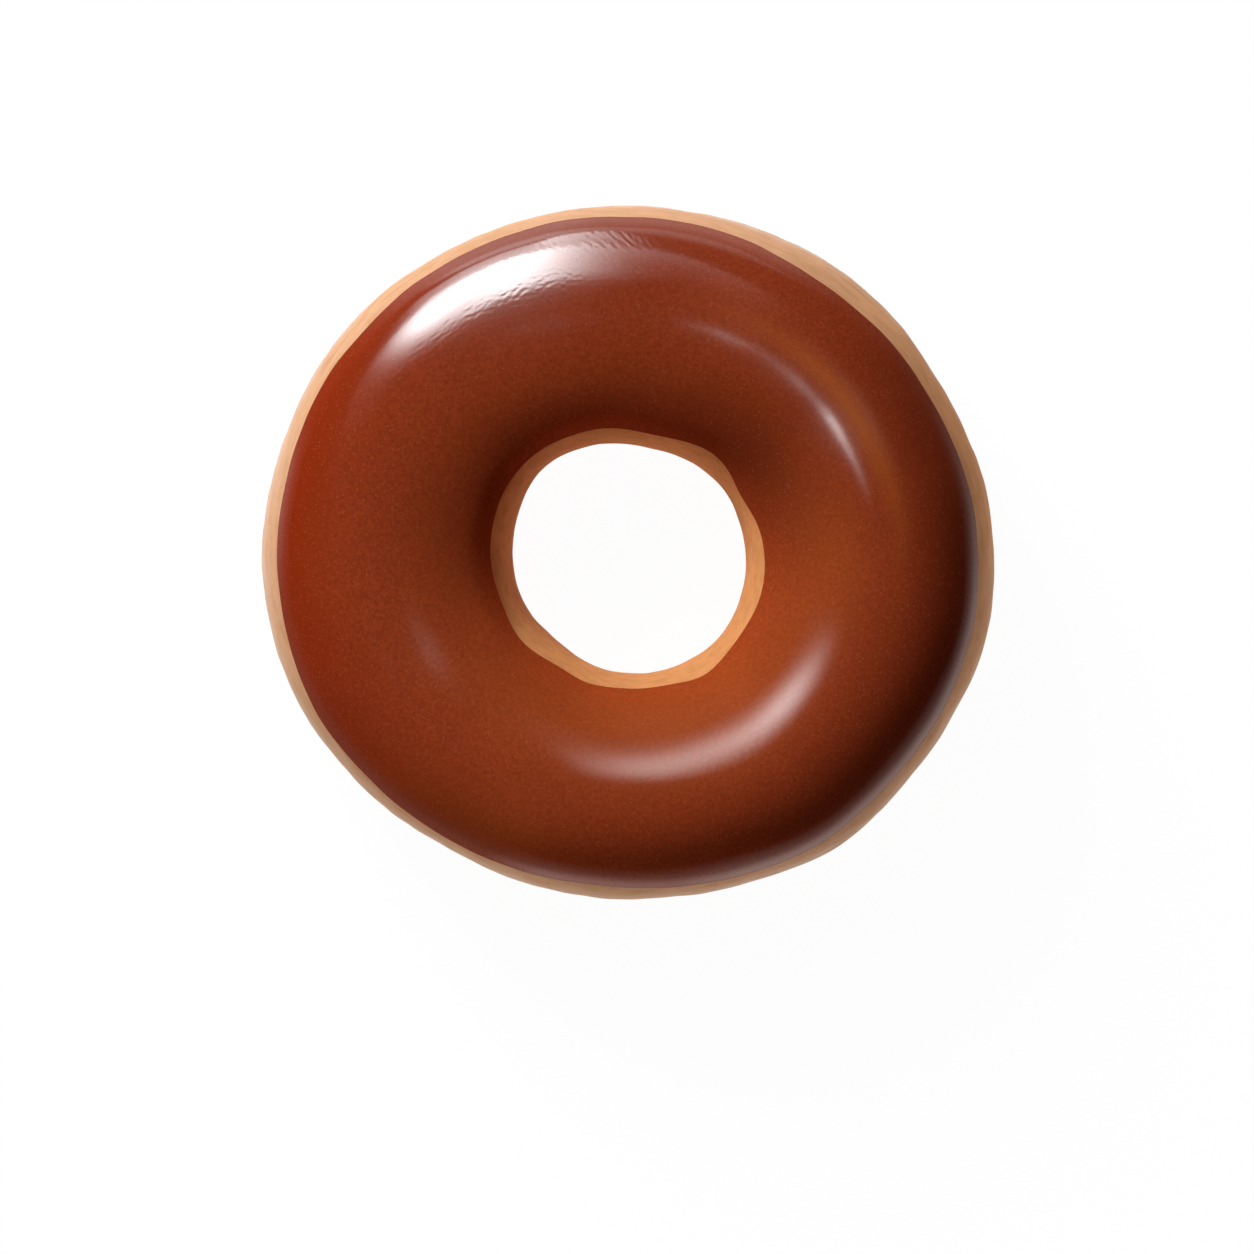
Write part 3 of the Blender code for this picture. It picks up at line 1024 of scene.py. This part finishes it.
class DOUGHNUT_OT_make_dough(bpy.types.Operator):
    """Make the fried dough ring"""

    bl_idname = "doughnut.make_dough"
    bl_label = "Make Dough Ring"
    bl_options = {"REGISTER", "UNDO"}

    def execute(self, context):
        dough = context.scene.doughnut_dough
        points, around, up = dough_points(dough)
        ring = add_wrapped_surface("fried_dough", points)
        add_flow_places(ring, around, up)
        # Browner crust on the side towards +X
        add_attribute(ring, "browner_side", patches(around, up, BROWNER_SIDE_PATCHES))
        ring.data.materials.append(dough_material(dough))
        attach(ring, "root")
        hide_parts("dough_ring")
        return {"FINISHED"}


class DOUGHNUT_OT_make_icing(bpy.types.Operator):
    """Make the coat of chocolate icing"""

    bl_idname = "doughnut.make_icing"
    bl_label = "Make Icing"
    bl_options = {"REGISTER", "UNDO"}

    def execute(self, context):
        icing = context.scene.doughnut_icing
        points, around, up = icing_points(context.scene.doughnut_dough, icing)
        coat = add_wrapped_surface("glossy_icing", points)
        from_lip = (up - icing_edges(around, icing)[0]) * SECTION_REACH
        glossy = patches(around, up, GLOSSY_PATCHES) * np.clip(from_lip / LIP_DULL_WIDTH, 0, 1)
        add_attribute(coat, "glossy", glossy)
        # Where painted light goes
        add_attribute(coat, "painted_light", patches(around, up, PAINTED_LIGHT_PATCHES))
        # Where painted shade goes
        add_attribute(coat, "painted_shade", patches(around, up, PAINTED_SHADE_PATCHES))
        add_attribute(coat, "clear", patches(around, up, CLEAR_PATCHES))
        add_flow_places(coat, around, up)
        coat.data.materials.append(icing_material(icing))
        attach(coat, "root")
        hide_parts("chocolate_icing")
        return {"FINISHED"}


class DOUGHNUT_OT_make_studio(bpy.types.Operator):
    """Make the pale floor, the lights and the camera"""

    bl_idname = "doughnut.make_studio"
    bl_label = "Make Studio"
    bl_options = {"REGISTER", "UNDO"}

    def execute(self, context):
        studio = context.scene.doughnut_studio
        bpy.ops.mesh.primitive_plane_add(size=studio.floor_size, location=(0, 0, RING_LOW[2]))
        floor = context.object
        floor.name = "studio_floor"
        floor.data.materials.append(floor_material(studio))
        for lamp in LAMPS:
            add_lamp(*lamp)
        make_world()

        camera = bpy.data.objects.new("camera", bpy.data.cameras.new("camera"))
        context.scene.collection.objects.link(camera)
        camera.data.sensor_width = SENSOR_WIDTH
        camera.data.lens = SENSOR_WIDTH * studio.camera_distance / studio.view_width
        middle = (Vector(RING_LOW) + Vector(RING_HIGH)) / 2
        waist = context.scene.doughnut_dough.waist_height
        camera.location = (
            middle.x + studio.picture_offset[0],
            middle.y + studio.picture_offset[1],
            waist + studio.camera_distance,
        )
        context.scene.camera = camera
        context.scene.view_settings.view_transform = "Standard"
        return {"FINISHED"}


class DOUGHNUT_PT_sidebar(bpy.types.Panel):
    """The doughnut's sizes, colours and buttons"""

    bl_idname = "DOUGHNUT_PT_sidebar"
    bl_label = "Ring Doughnut"
    bl_space_type = "VIEW_3D"
    bl_region_type = "UI"
    bl_category = "Doughnut"

    def draw(self, context):
        scene = context.scene
        steps = (
            (scene.doughnut_dough, DOUGHNUT_OT_make_dough),
            (scene.doughnut_icing, DOUGHNUT_OT_make_icing),
            (scene.doughnut_studio, DOUGHNUT_OT_make_studio),
        )
        for settings, operator in steps:
            box = self.layout.box()
            for name in settings.__annotations__:
                box.prop(settings, name)
            box.operator(operator.bl_idname)


CLASSES = (
    DoughSettings,
    IcingSettings,
    StudioSettings,
    DOUGHNUT_OT_make_dough,
    DOUGHNUT_OT_make_icing,
    DOUGHNUT_OT_make_studio,
    DOUGHNUT_PT_sidebar,
)


def register():
    for cls in CLASSES:
        bpy.utils.register_class(cls)
    bpy.types.Scene.doughnut_dough = bpy.props.PointerProperty(type=DoughSettings)
    bpy.types.Scene.doughnut_icing = bpy.props.PointerProperty(type=IcingSettings)
    bpy.types.Scene.doughnut_studio = bpy.props.PointerProperty(type=StudioSettings)


def unregister():
    del bpy.types.Scene.doughnut_studio
    del bpy.types.Scene.doughnut_icing
    del bpy.types.Scene.doughnut_dough
    for cls in reversed(CLASSES):
        bpy.utils.unregister_class(cls)


def main():
    register()
    bpy.ops.doughnut.make_dough()
    bpy.ops.doughnut.make_icing()
    bpy.ops.doughnut.make_studio()


if __name__ == "__main__":
    main()
